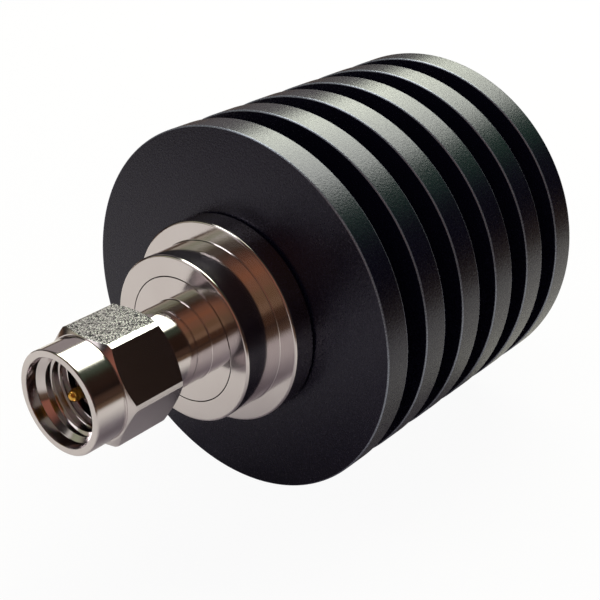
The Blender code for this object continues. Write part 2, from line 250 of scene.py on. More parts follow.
def softenFlats(piece, across, width, frameWidth):
    pick(piece)
    bpy.ops.object.mode_set(mode='EDIT')
    bpy.ops.mesh.select_mode(type='FACE')
    bpy.ops.mesh.select_all(action='DESELECT')
    bpy.ops.object.mode_set(mode='OBJECT')

    def isFlat(face):
        away = face.center.y * face.normal.y + face.center.z * face.normal.z
        upright = abs(face.normal.x) < flatSearch["lean"]
        return upright and abs(away - across / 2) < flatSearch["near"] and face.area > flatSearch["leastArea"]

    for face in piece.data.polygons:
        face.select = isFlat(face)
    print("milled flats:", sum(face.select for face in piece.data.polygons))
    bpy.ops.object.mode_set(mode='EDIT')
    bpy.ops.mesh.region_to_loop()
    bpy.ops.mesh.bevel(offset=width, segments=3, profile=0.5, affect='EDGES', clamp_overlap=True)
    bpy.ops.mesh.select_mode(type='FACE')
    bpy.ops.mesh.select_all(action='DESELECT')
    bpy.ops.object.mode_set(mode='OBJECT')
    for face in piece.data.polygons:
        face.select = isFlat(face)
    bpy.ops.object.mode_set(mode='EDIT')
    bpy.ops.mesh.inset(thickness=frameWidth, use_individual=True)
    bpy.ops.mesh.select_all(action='DESELECT')
    bpy.ops.object.mode_set(mode='OBJECT')
    return piece


# merges what the cuts left doubled, turns every face outwards and smooths what is round
def finishPiece(piece, mat, body, standsFor, smoothAngle=24):
    pick(piece)
    bpy.ops.object.mode_set(mode='EDIT')
    bpy.ops.mesh.select_all(action='SELECT')
    bpy.ops.mesh.remove_doubles(threshold=merging["cuts"])
    bpy.ops.mesh.normals_make_consistent(inside=False)
    bpy.ops.object.mode_set(mode='OBJECT')
    bpy.ops.object.shade_smooth_by_angle(angle=radians(smoothAngle))
    piece.data.materials.clear()
    piece.data.materials.append(mat)
    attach(piece, body)
    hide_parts(standsFor)
    print("made", piece.name, len(piece.data.polygons), "faces")
    return piece


# finishes: a noise texture's values lie mostly between these two
noiseRange = (0.3, 0.7)

nickelFinish = {
    "pale": "#dbd4d8",
    "warm": "#cec5c8",
    "cloudMm": 4.0,               # slow changes of tone over the plating
    "grooveMm": 0.14,             # marks of the lathe tool's feed
    "grainMm": 0.16,              # grain of the plating
    "glossShares": (0.9, 1.12),   # how the roughness changes from mark to mark
}


# Nickel plate over turned brass: a bright, slightly warm metal with fine lathe rings round the axis.
# milled describes the hexagon's flats; the plating is frosted and pitted, and on the top one its sparkle is
# painted: near-white and dark specks in the colour are painted glints.
def turnedNickel(name, roughness, grooveHeight, grainHeight, milled=None):
    mat, tree, shader = newMaterial(name)
    place, parts, radius = turnedPlace(tree)
    lathe = addNode(tree, "ShaderNodeCombineXYZ", inputs={0: parts.outputs[0], 1: radius})
    rings = addNode(tree, "ShaderNodeTexNoise", inputs={
        "Vector": lathe.outputs[0], "Scale": 1 / (nickelFinish["grooveMm"] * mm), "Detail": 2.0,
        "Roughness": 0.6})
    cloud = addNode(tree, "ShaderNodeTexNoise", inputs={
        "Vector": place, "Scale": 1 / (nickelFinish["cloudMm"] * mm), "Detail": 3.0})
    grain = addNode(tree, "ShaderNodeTexNoise", inputs={
        "Vector": place, "Scale": 1 / (nickelFinish["grainMm"] * mm), "Detail": 3.0,
        "Roughness": 0.65})
    tone = addNode(tree, "ShaderNodeMix", {"data_type": 'RGBA'}, {
        0: cloud.outputs[0], 6: toLinear(nickelFinish["pale"]), 7: toLinear(nickelFinish["warm"])})
    shader.inputs["Metallic"].default_value = 1.0
    smooth, dull = (roughness * share for share in nickelFinish["glossShares"])
    gloss = addNode(tree, "ShaderNodeMapRange", inputs={
        0: rings.outputs[0], 1: noiseRange[0], 2: noiseRange[1], 3: smooth, 4: dull})
    last = addNode(tree, "ShaderNodeBump", inputs={
        "Distance": grooveHeight * mm, "Height": rings.outputs[0]})
    colour, rough = tone.outputs[2], gloss.outputs[0]
    if milled:
        # how far out a point lies along the nearest flat's direction, which is the same all over a flat
        reach = None
        for turn in (30, 90, 150):
            angle = radians(turn + milled["turn"])
            share = addNode(tree, "ShaderNodeVectorMath", {"operation": 'DOT_PRODUCT'},
                            {0: place, 1: (0, cos(angle), sin(angle))})
            size = addNode(tree, "ShaderNodeMath", {"operation": 'ABSOLUTE'}, {0: share.outputs[1]})
            if reach:
                size = addNode(tree, "ShaderNodeMath", {"operation": 'MAXIMUM'},
                               {0: reach.outputs[0], 1: size.outputs[0]})
            reach = size
        half = milled["across"] / 2
        onFlats = addNode(tree, "ShaderNodeMapRange", {"interpolation_type": 'SMOOTHSTEP'}, {
            0: reach.outputs[0], 1: (half - milled["fade"]) * mm, 2: (half - milled["near"]) * mm})
        # painted glints: only the top flat, picked by its height, gets near-white and dark specks painted
        # into its colour
        low, high = (half * share * mm for share in milled["topShares"])
        paintedGlintOnTop = addNode(tree, "ShaderNodeMapRange", {"interpolation_type": 'SMOOTHSTEP'}, {
            0: parts.outputs[2], 1: low, 2: high})
        pitsAndPaintedSpecks = addNode(tree, "ShaderNodeTexVoronoi", inputs={
            "Vector": place, "Scale": 1 / (milled["pitMm"] * mm)})
        chance = addNode(tree, "ShaderNodeSeparateColor", inputs={0: pitsAndPaintedSpecks.outputs["Color"]})
        # this share only picks a painted speck's colour, dark or near-white; it is no pit depth
        deep = addNode(tree, "ShaderNodeMapRange", inputs={
            0: chance.outputs[0], 1: milled["speckFrom"], 2: milled["speckTo"]})
        paintedSpecks = addNode(tree, "ShaderNodeMix", {"data_type": 'RGBA'}, {
            0: deep.outputs[0], 6: toLinear(milled["paintedDarkSpeck"]), 7: toLinear(milled["top"])})
        paintedSpeckMask = addNode(tree, "ShaderNodeMath", {"operation": 'MULTIPLY'},
                        {0: onFlats.outputs[0], 1: paintedGlintOnTop.outputs[0]})
        toneWithPaintedSpecks = addNode(tree, "ShaderNodeMix", {"data_type": 'RGBA'}, {
            0: paintedSpeckMask.outputs[0], 6: colour, 7: paintedSpecks.outputs[2]})
        frosted = addNode(tree, "ShaderNodeMath", {"operation": 'MULTIPLY_ADD'}, {
            0: onFlats.outputs[0], 1: milled["roughnessMore"], 2: rough})
        masked = addNode(tree, "ShaderNodeMath", {"operation": 'MULTIPLY'},
                         {0: onFlats.outputs[0], 1: pitsAndPaintedSpecks.outputs[0]})
        last = addNode(tree, "ShaderNodeBump", inputs={
            "Distance": milled["height"] * mm, "Height": masked.outputs[0],
            "Normal": last.outputs[0]})
        colour, rough = toneWithPaintedSpecks.outputs[2], frosted.outputs[0]
    skin = addNode(tree, "ShaderNodeBump", inputs={
        "Distance": grainHeight * mm, "Height": grain.outputs[0], "Normal": last.outputs[0]})
    tree.links.new(colour, shader.inputs["Base Color"])
    tree.links.new(rough, shader.inputs["Roughness"])
    tree.links.new(skin.outputs[0], shader.inputs["Normal"])
    return mat


plugNickel = turnedNickel("nickelPlatePolishedBarrel", roughness=0.09, grooveHeight=0.0003,
                          grainHeight=0.0003)
capNickel = turnedNickel("nickelPlateTurnedCap", roughness=0.12, grooveHeight=0.0001, grainHeight=0.0003)
jackNickel = turnedNickel("nickelPlateOnJackThread", roughness=0.10, grooveHeight=0.0004,
                          grainHeight=0.0004)

anodisedFinish = {
    "base": "#080713",
    "worn": "#0c0b1a",
    "blastMm": 0.16,      # blast marks, drawn about twice as coarse as the real ones so that they show
    "blastHeight": 0.018,
    "mottleMm": 2.5,
    "roughness": 0.25,
    "glossSteps": (-0.05, 0.08),
    "ior": 1.50,
    "level": 0.41,
    "sheen": "#e0daff",
    "edge": "#878c99",    # the oxide is thin on the turned edges of the fins, so they shine through
    "edgeMm": 0.12,
    "edgeFull": 0.6,      # share of edgeMm at which the shine is full
    "edgeMetal": 0.65,
}


# Aluminium oxide dyed black over a bead blasted surface: deep charcoal, a fine matte sparkle,
# and a strong pale sheen where light grazes the rims. The worn edges follow the sizes of the fins.
def blackAnodised():
    mat, tree, shader = newMaterial("blackAnodisedBeadBlastedAluminium")
    place, parts, radius = turnedPlace(tree)
    blast = addNode(tree, "ShaderNodeTexNoise", inputs={
        "Vector": place, "Scale": 1 / (anodisedFinish["blastMm"] * mm), "Detail": 4.0,
        "Roughness": 0.6})
    mottle = addNode(tree, "ShaderNodeTexNoise", inputs={
        "Vector": place, "Scale": 1 / (anodisedFinish["mottleMm"] * mm), "Detail": 3.0})
    tone = addNode(tree, "ShaderNodeMix", {"data_type": 'RGBA'}, {
        0: mottle.outputs[0], 6: toLinear(anodisedFinish["base"]), 7: toLinear(anodisedFinish["worn"])})
    # how far a point lies from the middle of its fin, along the axis, and from the fin's rim
    along = addNode(tree, "ShaderNodeMath", {"operation": 'SUBTRACT'},
                    {0: parts.outputs[0], 1: (sinkSize["front"] + sinkSize["finLong"] / 2) * mm})
    halfPitch = (sinkSize["finLong"] + sinkSize["grooveLong"]) / 2
    fromMiddle = addNode(tree, "ShaderNodeMath", {"operation": 'WRAP'},
                         {0: along.outputs[0], 1: halfPitch * mm, 2: -halfPitch * mm})
    sideways = addNode(tree, "ShaderNodeMath", {"operation": 'ABSOLUTE'}, {0: fromMiddle.outputs[0]})
    edge = anodisedFinish["edgeMm"]
    full = edge * anodisedFinish["edgeFull"]
    onSide = addNode(tree, "ShaderNodeMapRange", {"interpolation_type": 'SMOOTHSTEP'}, {
        0: sideways.outputs[0], 1: (sinkSize["finLong"] / 2 - edge) * mm,
        2: (sinkSize["finLong"] / 2 - full) * mm})
    onRim = addNode(tree, "ShaderNodeMapRange", {"interpolation_type": 'SMOOTHSTEP'}, {
        0: radius, 1: (sinkSize["finR"] - edge) * mm, 2: (sinkSize["finR"] - full) * mm})
    onEdge = addNode(tree, "ShaderNodeMath", {"operation": 'MULTIPLY'},
                     {0: onSide.outputs[0], 1: onRim.outputs[0]})
    edgeTone = addNode(tree, "ShaderNodeMix", {"data_type": 'RGBA'}, {
        0: onEdge.outputs[0], 6: tone.outputs[2], 7: toLinear(anodisedFinish["edge"])})
    metal = addNode(tree, "ShaderNodeMath", {"operation": 'MULTIPLY'},
                    {0: onEdge.outputs[0], 1: anodisedFinish["edgeMetal"]})
    tree.links.new(edgeTone.outputs[2], shader.inputs["Base Color"])
    tree.links.new(metal.outputs[0], shader.inputs["Metallic"])
    shader.inputs["Specular Tint"].default_value = toLinear(anodisedFinish["sheen"])
    smooth, dull = (anodisedFinish["roughness"] + step for step in anodisedFinish["glossSteps"])
    gloss = addNode(tree, "ShaderNodeMapRange", inputs={
        0: blast.outputs[0], 1: noiseRange[0], 2: noiseRange[1], 3: smooth, 4: dull})
    tree.links.new(gloss.outputs[0], shader.inputs["Roughness"])
    shader.inputs["IOR"].default_value = anodisedFinish["ior"]
    shader.inputs["Specular IOR Level"].default_value = anodisedFinish["level"]
    bump = addNode(tree, "ShaderNodeBump", inputs={
        "Distance": anodisedFinish["blastHeight"] * mm, "Height": blast.outputs[0]})
    tree.links.new(bump.outputs[0], shader.inputs["Normal"])
    return mat


# clouds are this many grains across, the roughness changes by these shares, and this much light sinks in
smallFinish = {"cloudGrains": 14, "glossShares": (0.8, 1.2), "scatter": 0.25}


# A finish with one colour pair, broken up by a fine grain: used for the small inner pieces
def grainyFinish(name, pale, deep, grainMm, height, roughness, metallic=0.0, ior=1.5, scatterMm=0.0):
    mat, tree, shader = newMaterial(name)
    place = addNode(tree, "ShaderNodeTexCoord").outputs["Object"]
    grain = addNode(tree, "ShaderNodeTexNoise", inputs={
        "Vector": place, "Scale": 1 / (grainMm * mm), "Detail": 3.0})
    cloud = addNode(tree, "ShaderNodeTexNoise", inputs={
        "Vector": place, "Scale": 1 / (grainMm * smallFinish["cloudGrains"] * mm), "Detail": 2.0})
    tone = addNode(tree, "ShaderNodeMix", {"data_type": 'RGBA'}, {
        0: cloud.outputs[0], 6: toLinear(pale), 7: toLinear(deep)})
    tree.links.new(tone.outputs[2], shader.inputs["Base Color"])
    smooth, dull = (roughness * share for share in smallFinish["glossShares"])
    gloss = addNode(tree, "ShaderNodeMapRange", inputs={
        0: grain.outputs[0], 1: noiseRange[0], 2: noiseRange[1], 3: smooth, 4: dull})
    tree.links.new(gloss.outputs[0], shader.inputs["Roughness"])
    shader.inputs["Metallic"].default_value = metallic
    if not metallic:
        shader.inputs["IOR"].default_value = ior
    if scatterMm:
        shader.inputs["Subsurface Weight"].default_value = smallFinish["scatter"]
        shader.inputs["Subsurface Scale"].default_value = scatterMm * mm
    bump = addNode(tree, "ShaderNodeBump", inputs={
        "Distance": height * mm, "Height": grain.outputs[0]})
    tree.links.new(bump.outputs[0], shader.inputs["Normal"])
    return mat


# gold plate on beryllium copper: deep yellow with a soft satin from the plating
pinGold = grainyFinish("goldPlateOnPin", "#e2b35a", "#c98f37",
                       grainMm=0.08, height=0.0008, roughness=0.20, metallic=1.0)
# rolled gold ribbon: a little brighter and smoother
tabGold = grainyFinish("goldRibbonRolled", "#e8bd68", "#d6a24c",
                       grainMm=0.05, height=0.0004, roughness=0.24, metallic=1.0)
# turned PTFE: waxy white that lets a little light in
waxyWhite = grainyFinish("ptfeTurned", "#efece2", "#dcd8cb",
                         grainMm=0.10, height=0.0015, roughness=0.42, ior=1.36, scatterMm=0.6)
# spring bronze: dull brown yellow
ringBronze = grainyFinish("berylliumCopperSpringRing", "#b98a55", "#96683b",
                          grainMm=0.06, height=0.0010, roughness=0.34, metallic=1.0)
# moulded silicone: matte brick red
gasketRed = grainyFinish("siliconeMouldedRed", "#a8382c", "#8a2a20",
                         grainMm=0.12, height=0.0030, roughness=0.62, ior=1.41)
# moulded polyetherimide: amber, glossy, slightly see-into
beadAmber = grainyFinish("polyetherimideMouldedAmber", "#b4711f", "#935412",
                         grainMm=0.20, height=0.0008, roughness=0.28, ior=1.66, scatterMm=0.3)
# milled copper: warm pink metal with tarnish clouds
carrierCopper = grainyFinish("copperMilledBare", "#c98a66", "#a8623e",
                             grainMm=0.12, height=0.0020, roughness=0.33, metallic=1.0)
# machine screw steel: grey and plain
screwSteel = grainyFinish("steelScrewBare", "#a9a8a6", "#8c8b8a",
                          grainMm=0.07, height=0.0012, roughness=0.30, metallic=1.0)
# fired ceramic with its film: chalky off-white
chipCeramic = grainyFinish("aluminaCeramicFired", "#e4e1da", "#cfcbc2",
                           grainMm=0.06, height=0.0010, roughness=0.50, ior=1.77)
print("finishes ready")


# the 1/4-36 thread of both connectors. The tool that cuts it reaches past the surface by spare.
thread = {"major": 3.175, "pitch": 25.4 / 36, "depth": 0.381, "root": 25.4 / 36 / 8, "flankAngle": 30,
          "spare": 0.1}
thread["flank"] = 2 * tan(radians(thread["flankAngle"])) * (thread["depth"] + thread["spare"])


# coupling nut: turned blank, milled hexagon, thread inside
nutSize = {
    "front": -3.30, "back": 4.20, "skirt": 2.55,
    "skirtR": 3.86, "cornerR": 4.50, "coneR": 3.96, "chamfer": 30.0,
    "flats": 8.0, "turn": 0.6, "edge": 0.04, "barSpare": 2.0,
    "boreR": 3.30, "boreDepth": 0.85, "minorR": 2.794, "leadShare": 0.8,
    "reliefR": 3.22, "reliefFront": 1.60, "reliefLead": 0.6, "rearWall": 0.55, "neckHole": 2.72,
    "tapEarly": 0.2, "tapTurns": 7, "segments": 160,
}

# The finish of the hexagon. Its pits are about 0.05 mm apart on such plating and are drawn at 0.085 mm so
# that they show.
# the speck colours and thresholds are painted glints: near-white and dark specks in the top flat's colour
# stand in for its sparkle
milledFlats = {"across": nutSize["flats"], "turn": nutSize["turn"], "fade": 0.05, "near": 0.002,
               "topShares": (0.90, 0.98), "roughnessMore": 0.06, "height": 0.0052,
               "pitMm": 0.085, "speckFrom": 0.24, "speckTo": 0.56, "paintedDarkSpeck": "#3c4144", "top": "#fbfcfd"}
nutNickel = turnedNickel("nickelPlateOnMilledNut", roughness=0.12, grooveHeight=0.0003, grainHeight=0.0003,
                         milled=milledFlats)


def makeNut():
    s = nutSize
    hexFront = s["front"] + s["skirt"]
    chamferLong = (s["cornerR"] - s["coneR"]) * tan(radians(s["chamfer"]))
    lead = s["front"] + s["boreDepth"]
    corners = [
        (s["back"], s["coneR"], 0.03),
        (s["back"] - chamferLong, s["cornerR"], 0),
        (hexFront + chamferLong, s["cornerR"], 0),
        (hexFront, s["coneR"], 0.03),
        (hexFront, s["skirtR"], 0.05),
        (s["front"], s["skirtR"], 0.12),
        (s["front"], s["boreR"], 0.07),
        (lead, s["boreR"], 0.03),
        (lead + (s["boreR"] - s["minorR"]) * s["leadShare"], s["minorR"], 0),
        (s["reliefFront"], s["minorR"], 0),
        (s["reliefFront"] + (s["reliefR"] - s["minorR"]) * s["reliefLead"], s["reliefR"], 0),
        (s["back"] - s["rearWall"], s["reliefR"], 0.04),
        (s["back"] - s["rearWall"], s["neckHole"], 0.04),
        (s["back"], s["neckHole"], 0.04),
    ]
    nut = turnOnAxis("couplingNut", softProfile(corners), s["segments"])
    deselectAll()
    bpy.ops.mesh.primitive_cylinder_add(
        vertices=6, radius=s["flats"] / sqrt(3) * mm, depth=(s["back"] - s["front"] + s["barSpare"]) * mm,
        location=((s["front"] + s["back"]) / 2 * mm, 0, 0), rotation=(0, pi / 2, 0))
    hexBar = rename(bpy.context.object, "hexBar")
    bpy.ops.object.transform_apply(location=True, rotation=True, scale=True)
    corner = max(hexBar.data.vertices, key=lambda v: v.co.y).co
    nowAt = Vector((corner.y, corner.z)).angle_signed(Vector((1, 0)))
    hexBar.rotation_euler = (radians(s["turn"]) - nowAt, 0, 0)
    pick(hexBar)
    bpy.ops.object.transform_apply(location=True, rotation=True, scale=True)
    carve(nut, hexBar, 'INTERSECT')
    pick(nut)
    bpy.ops.object.mode_set(mode='EDIT')
    bpy.ops.mesh.select_all(action='SELECT')
    bpy.ops.mesh.remove_doubles(threshold=merging["milled"])
    bpy.ops.object.mode_set(mode='OBJECT')
    softenFlats(nut, s["flats"] * mm, s["edge"] * mm, s["edge"] / 2 * mm)
    tool = threadCutter("nutTap", (s["minorR"] - thread["spare"]) * mm, thread["major"] * mm,
                        (thread["root"] + thread["flank"]) * mm, thread["root"] * mm,
                        (lead - s["tapEarly"]) * mm, s["tapTurns"], thread["pitch"] * mm)
    carve(nut, tool)
    return finishPiece(nut, nutNickel, "coupling", "coupling_nut")


makeNut()


# plug body: sleeve, neck with its ring groove, polished barrel, base disc and spigot
plugSize = {
    "sleeveR": 2.30, "boreR": 2.06, "neckR": 2.62, "grooveR": 2.38,
    "shoulder": 2.30, "grooveStart": 2.75, "grooveLong": 0.70,
    "barrelStart": 4.50, "barrelR": 3.15, "easeLong": 1.90, "ease": 0.11, "capFace": 8.30,
    "discR": 4.88, "discLong": 1.50, "spigotR": 3.60, "spigotEnd": 16.50,
    "segments": 128,
}


def makePlugBody():
    s = plugSize
    corners = [
        (s["spigotEnd"], s["spigotR"], 0.05),
        (s["capFace"] + s["discLong"], s["spigotR"], 0),
        (s["capFace"] + s["discLong"], s["discR"], 0.05),
        (s["capFace"], s["discR"], 0.03),
        (s["capFace"], s["barrelR"], 0.06),
        (s["barrelStart"] + s["easeLong"], s["barrelR"], 1.0),
        (s["barrelStart"], s["barrelR"] - s["ease"], 0.08),
        (s["barrelStart"], s["neckR"], 0.03),
        (s["grooveStart"] + s["grooveLong"], s["neckR"], 0.03),
        (s["grooveStart"] + s["grooveLong"], s["grooveR"], 0.03),
        (s["grooveStart"], s["grooveR"], 0.03),
        (s["grooveStart"], s["neckR"], 0.03),
        (s["shoulder"], s["neckR"], 0.05),
        (s["shoulder"], s["sleeveR"], 0.03),
        (0.0, s["sleeveR"], 0.06),
        (0.0, s["boreR"], 0.04),
        (s["spigotEnd"], s["boreR"], 0.04),
    ]
    body = turnOnAxis("plugBody", softProfile(corners), s["segments"])
    return finishPiece(body, plugNickel, "attenuator", "plug_body")


makePlugBody()


# stepped caps: hub and flange, the rear one the front one mirrored about the middle of the heat sink
capSize = {
    "face": 8.30, "hubR": 6.53, "hubLong": 3.50, "flangeR": 8.02, "flangeLong": 1.95,
    "spigotR": 6.35, "spigotEnd": 17.90, "seatR": 4.94, "seatLong": 1.60, "boreR": 3.70,
    "middle": 27.025, "segments": 160,
}


def makeCap(name, standsFor, mirrored):
    s = capSize
    step = s["face"] + s["hubLong"]
    back = step + s["flangeLong"]
    corners = [
        (s["spigotEnd"], s["spigotR"], 0.15),
        (back, s["spigotR"], 0.05),
        (back, s["flangeR"], 0.10),
        (step, s["flangeR"], 0.16),
        (step, s["hubR"], 0.07),
        (s["face"], s["hubR"], 0.16),
        (s["face"], s["seatR"], 0.03),
        (s["face"] + s["seatLong"], s["seatR"], 0.03),
        (s["face"] + s["seatLong"], s["boreR"], 0.05),
        (s["spigotEnd"], s["boreR"], 0.05),
    ]
    if mirrored:
        corners = [(2 * s["middle"] - x, r, soft) for x, r, soft in corners]
    cap = turnOnAxis(name, softProfile(corners, steps=4), s["segments"])
    return finishPiece(cap, capNickel, "attenuator", standsFor)


makeCap("frontCap", "front_cap", False)
makeCap("rearCap", "rear_cap", True)


# heat sink: six round fins turned from one bar
sinkSize = {
    "front": 13.90, "finR": 14.60, "rootR": 9.00, "fins": 6, "finLong": 2.40, "grooveLong": 2.37,
    "finEdge": 0.12, "boreR": 6.50, "boreEdge": 0.40, "rootSoft": 0.25, "segments": 192,
}
sinkBlack = blackAnodised()


def makeHeatSink():
    s = sinkSize
    corners = []
    pitch = s["finLong"] + s["grooveLong"]
    for i in reversed(range(s["fins"])):
        front = s["front"] + i * pitch
        back = front + s["finLong"]
        if i < s["fins"] - 1:
            corners.append((back, s["rootR"], s["rootSoft"]))
        corners.append((back, s["finR"], s["finEdge"]))
        corners.append((front, s["finR"], s["finEdge"]))
        if i:
            corners.append((front, s["rootR"], s["rootSoft"]))
    end = s["front"] + s["fins"] * pitch - s["grooveLong"]
    corners = ([(end, s["boreR"] + s["boreEdge"], 0.05)] + corners
               + [(s["front"], s["boreR"] + s["boreEdge"], 0.05),
                  (s["front"] + s["boreEdge"], s["boreR"], 0),
                  (end - s["boreEdge"], s["boreR"], 0)])
    sink = turnOnAxis("finnedHeatSink", softProfile(corners, steps=4), s["segments"])
    return finishPiece(sink, sinkBlack, "attenuator", "heat_sink")


makeHeatSink()


# centre pin of the plug, with its rounded nose and the flat for the tab
pinSize = {"tip": -2.30, "tipR": 0.465, "noseLong": 0.55, "noseEnd": 0.13, "noseSteps": 8,
           "shankR": 0.635, "end": 20.40, "edge": 0.04, "flat": 1.00, "segments": 48}


def makePin():
    s = pinSize
    rings = [(s["end"], s["shankR"] - s["edge"]), (s["end"] - s["edge"], s["shankR"]),
             (s["edge"], s["shankR"]), (0.0, s["shankR"] - s["edge"]), (0.0, s["tipR"])]
    for k in range(s["noseSteps"]):
        a = k / s["noseSteps"] * pi / 2
        rings.append((s["tip"] + s["noseLong"] * (1 - sin(a)),
                      s["noseEnd"] + (s["tipR"] - s["noseEnd"]) * cos(a)))
    rings.append((s["tip"], s["noseEnd"]))
    pin = turnOnAxis("centrePin", [(x * mm, r * mm) for x, r in rings], s["segments"], hollow=False)
    cutBlock(pin, "pinFlatMill", (2 * s["flat"], 4, 2), (s["end"], 0, 1))
    return finishPiece(pin, pinGold, "attenuator", "plug_centre_pin")


makePin()


# insulators of both connectors, smoother than the CAD ones
insulatorSize = {"boreR": 0.695, "outerR": 2.00, "plugFrom": 0.0, "plugTo": 16.50,
                 "jackFrom": 37.55, "jackTo": 51.85, "segments": 64}


def makeInsulator(name, start, end, standsFor):
    s = insulatorSize
    corners = [(end, s["outerR"], 0.06), (start, s["outerR"], 0.06),
               (start, s["boreR"], 0.05), (end, s["boreR"], 0.05)]
    piece = turnOnAxis(name, softProfile(corners), s["segments"])
    return finishPiece(piece, waxyWhite, "attenuator", standsFor)


makeInsulator("plugInsulator", insulatorSize["plugFrom"], insulatorSize["plugTo"], "plug_dielectric")
makeInsulator("jackInsulator", insulatorSize["jackFrom"], insulatorSize["jackTo"], "jack_dielectric")


# jack: base disc, relief, 1/4-36 thread outside and the mouth for the plug's sleeve
jackSize = {
    "face": 45.75, "end": 53.75, "plane": 51.85, "discLong": 1.50, "discR": 4.88,
    "spigotR": 3.60, "spigotEnd": 37.55, "boreR": 2.06, "mouthR": 2.32,
    "reliefLong": 1.00, "reliefR": 2.72, "reliefSlope": 0.30, "lead": 0.40,
    "dieEarly": 0.60, "dieTurns": 12, "segments": 144,
}


def makeJack():
    s = jackSize
    threadStart = s["face"] + s["reliefLong"]
    corners = [
        (s["end"], thread["major"] - s["lead"], 0.05),
        (s["end"] - s["lead"], thread["major"], 0),
        (threadStart, thread["major"], 0),
        (threadStart - s["reliefSlope"], s["reliefR"], 0),
        (s["face"], s["reliefR"], 0.06),
        (s["face"], s["discR"], 0.08),
        (s["face"] - s["discLong"], s["discR"], 0.05),
        (s["face"] - s["discLong"], s["spigotR"], 0),
        (s["spigotEnd"], s["spigotR"], 0.05),
        (s["spigotEnd"], s["boreR"], 0.04),
        (s["plane"], s["boreR"], 0.02),
        (s["plane"], s["mouthR"], 0.03),
        (s["end"], s["mouthR"], 0.08),
    ]
    jack = turnOnAxis("jackBody", softProfile(corners), s["segments"])
    low = thread["major"] - thread["depth"]
    tool = threadCutter("jackDie", low * mm, (thread["major"] + thread["spare"]) * mm,
                        thread["root"] * mm, (thread["root"] + thread["flank"]) * mm,
                        (threadStart - s["dieEarly"]) * mm, s["dieTurns"], thread["pitch"] * mm)
    carve(jack, tool)
    return finishPiece(jack, jackNickel, "attenuator", "jack_body")


makeJack()


# jack contact: a socket split into four spring fingers
contactSize = {"start": 33.65, "startEdge": 0.03, "plane": 51.85, "shankR": 0.635, "socketR": 0.475,
               "rimEdge": 0.06, "rimLong": 0.08, "funnelLong": 0.10,
               "socketDeep": 3.20, "slot": 0.22, "slotLong": 2.60, "flat": 1.00, "segments": 48}


def makeContact():
    s = contactSize
    rings = [(s["start"], s["shankR"] - s["startEdge"]), (s["start"] + s["startEdge"], s["shankR"]),
             (s["plane"] - s["rimLong"], s["shankR"]), (s["plane"], s["shankR"] - s["rimEdge"]),
             (s["plane"], s["socketR"] + s["rimEdge"]), (s["plane"] - s["funnelLong"], s["socketR"]),
             (s["plane"] - s["socketDeep"], s["socketR"])]
    contact = turnOnAxis("jackContact", [(x * mm, r * mm) for x, r in rings], s["segments"], hollow=False)
    cutBlock(contact, "uprightSaw", (2 * s["slotLong"], s["slot"], 4), (s["plane"], 0, 0))
    cutBlock(contact, "levelSaw", (2 * s["slotLong"], 4, s["slot"]), (s["plane"], 0, 0))
    cutBlock(contact, "flatMill", (2 * s["flat"], 4, 2), (s["start"], 0, 1))
    return finishPiece(contact, pinGold, "attenuator", "jack_centre_contact")


makeContact()


# the sealed inner pieces keep their CAD shape and get their finish
innerFinishes = {
    "nut_retaining_ring": ringBronze, "nut_gasket": gasketRed,
    "front_bead": beadAmber, "rear_bead": beadAmber,
    "element_carrier": carrierCopper, "element_cover": carrierCopper,
    "cover_screw_1": screwSteel, "cover_screw_2": screwSteel,
    "cover_screw_3": screwSteel, "cover_screw_4": screwSteel,
    "attenuator_chip": chipCeramic, "input_tab": tabGold, "output_tab": tabGold,
}
for nodeName, mat in innerFinishes.items():
    for matSlot in nodes[nodeName].material_slots:
        matSlot.material = mat
print("inner pieces finished:", len(innerFinishes))


# floor: pale paper with a painted pool of light round the lit point, fading into painted dark far from the
# object, where only mirrors can see it.
# To the camera it is nearly white everywhere, and it keeps the object's shadow.
floorLook = {"height": -14.62, "size": 1600, "paper": "#bfbcbe", "paintedFarDark": "#5a473a",
             "lit": (30, 30, 0), "paintedPoolUntil": 75, "paintedDarkFrom": 118, "cameraWhite": 0.95, "mirrorWhite": 0.05}


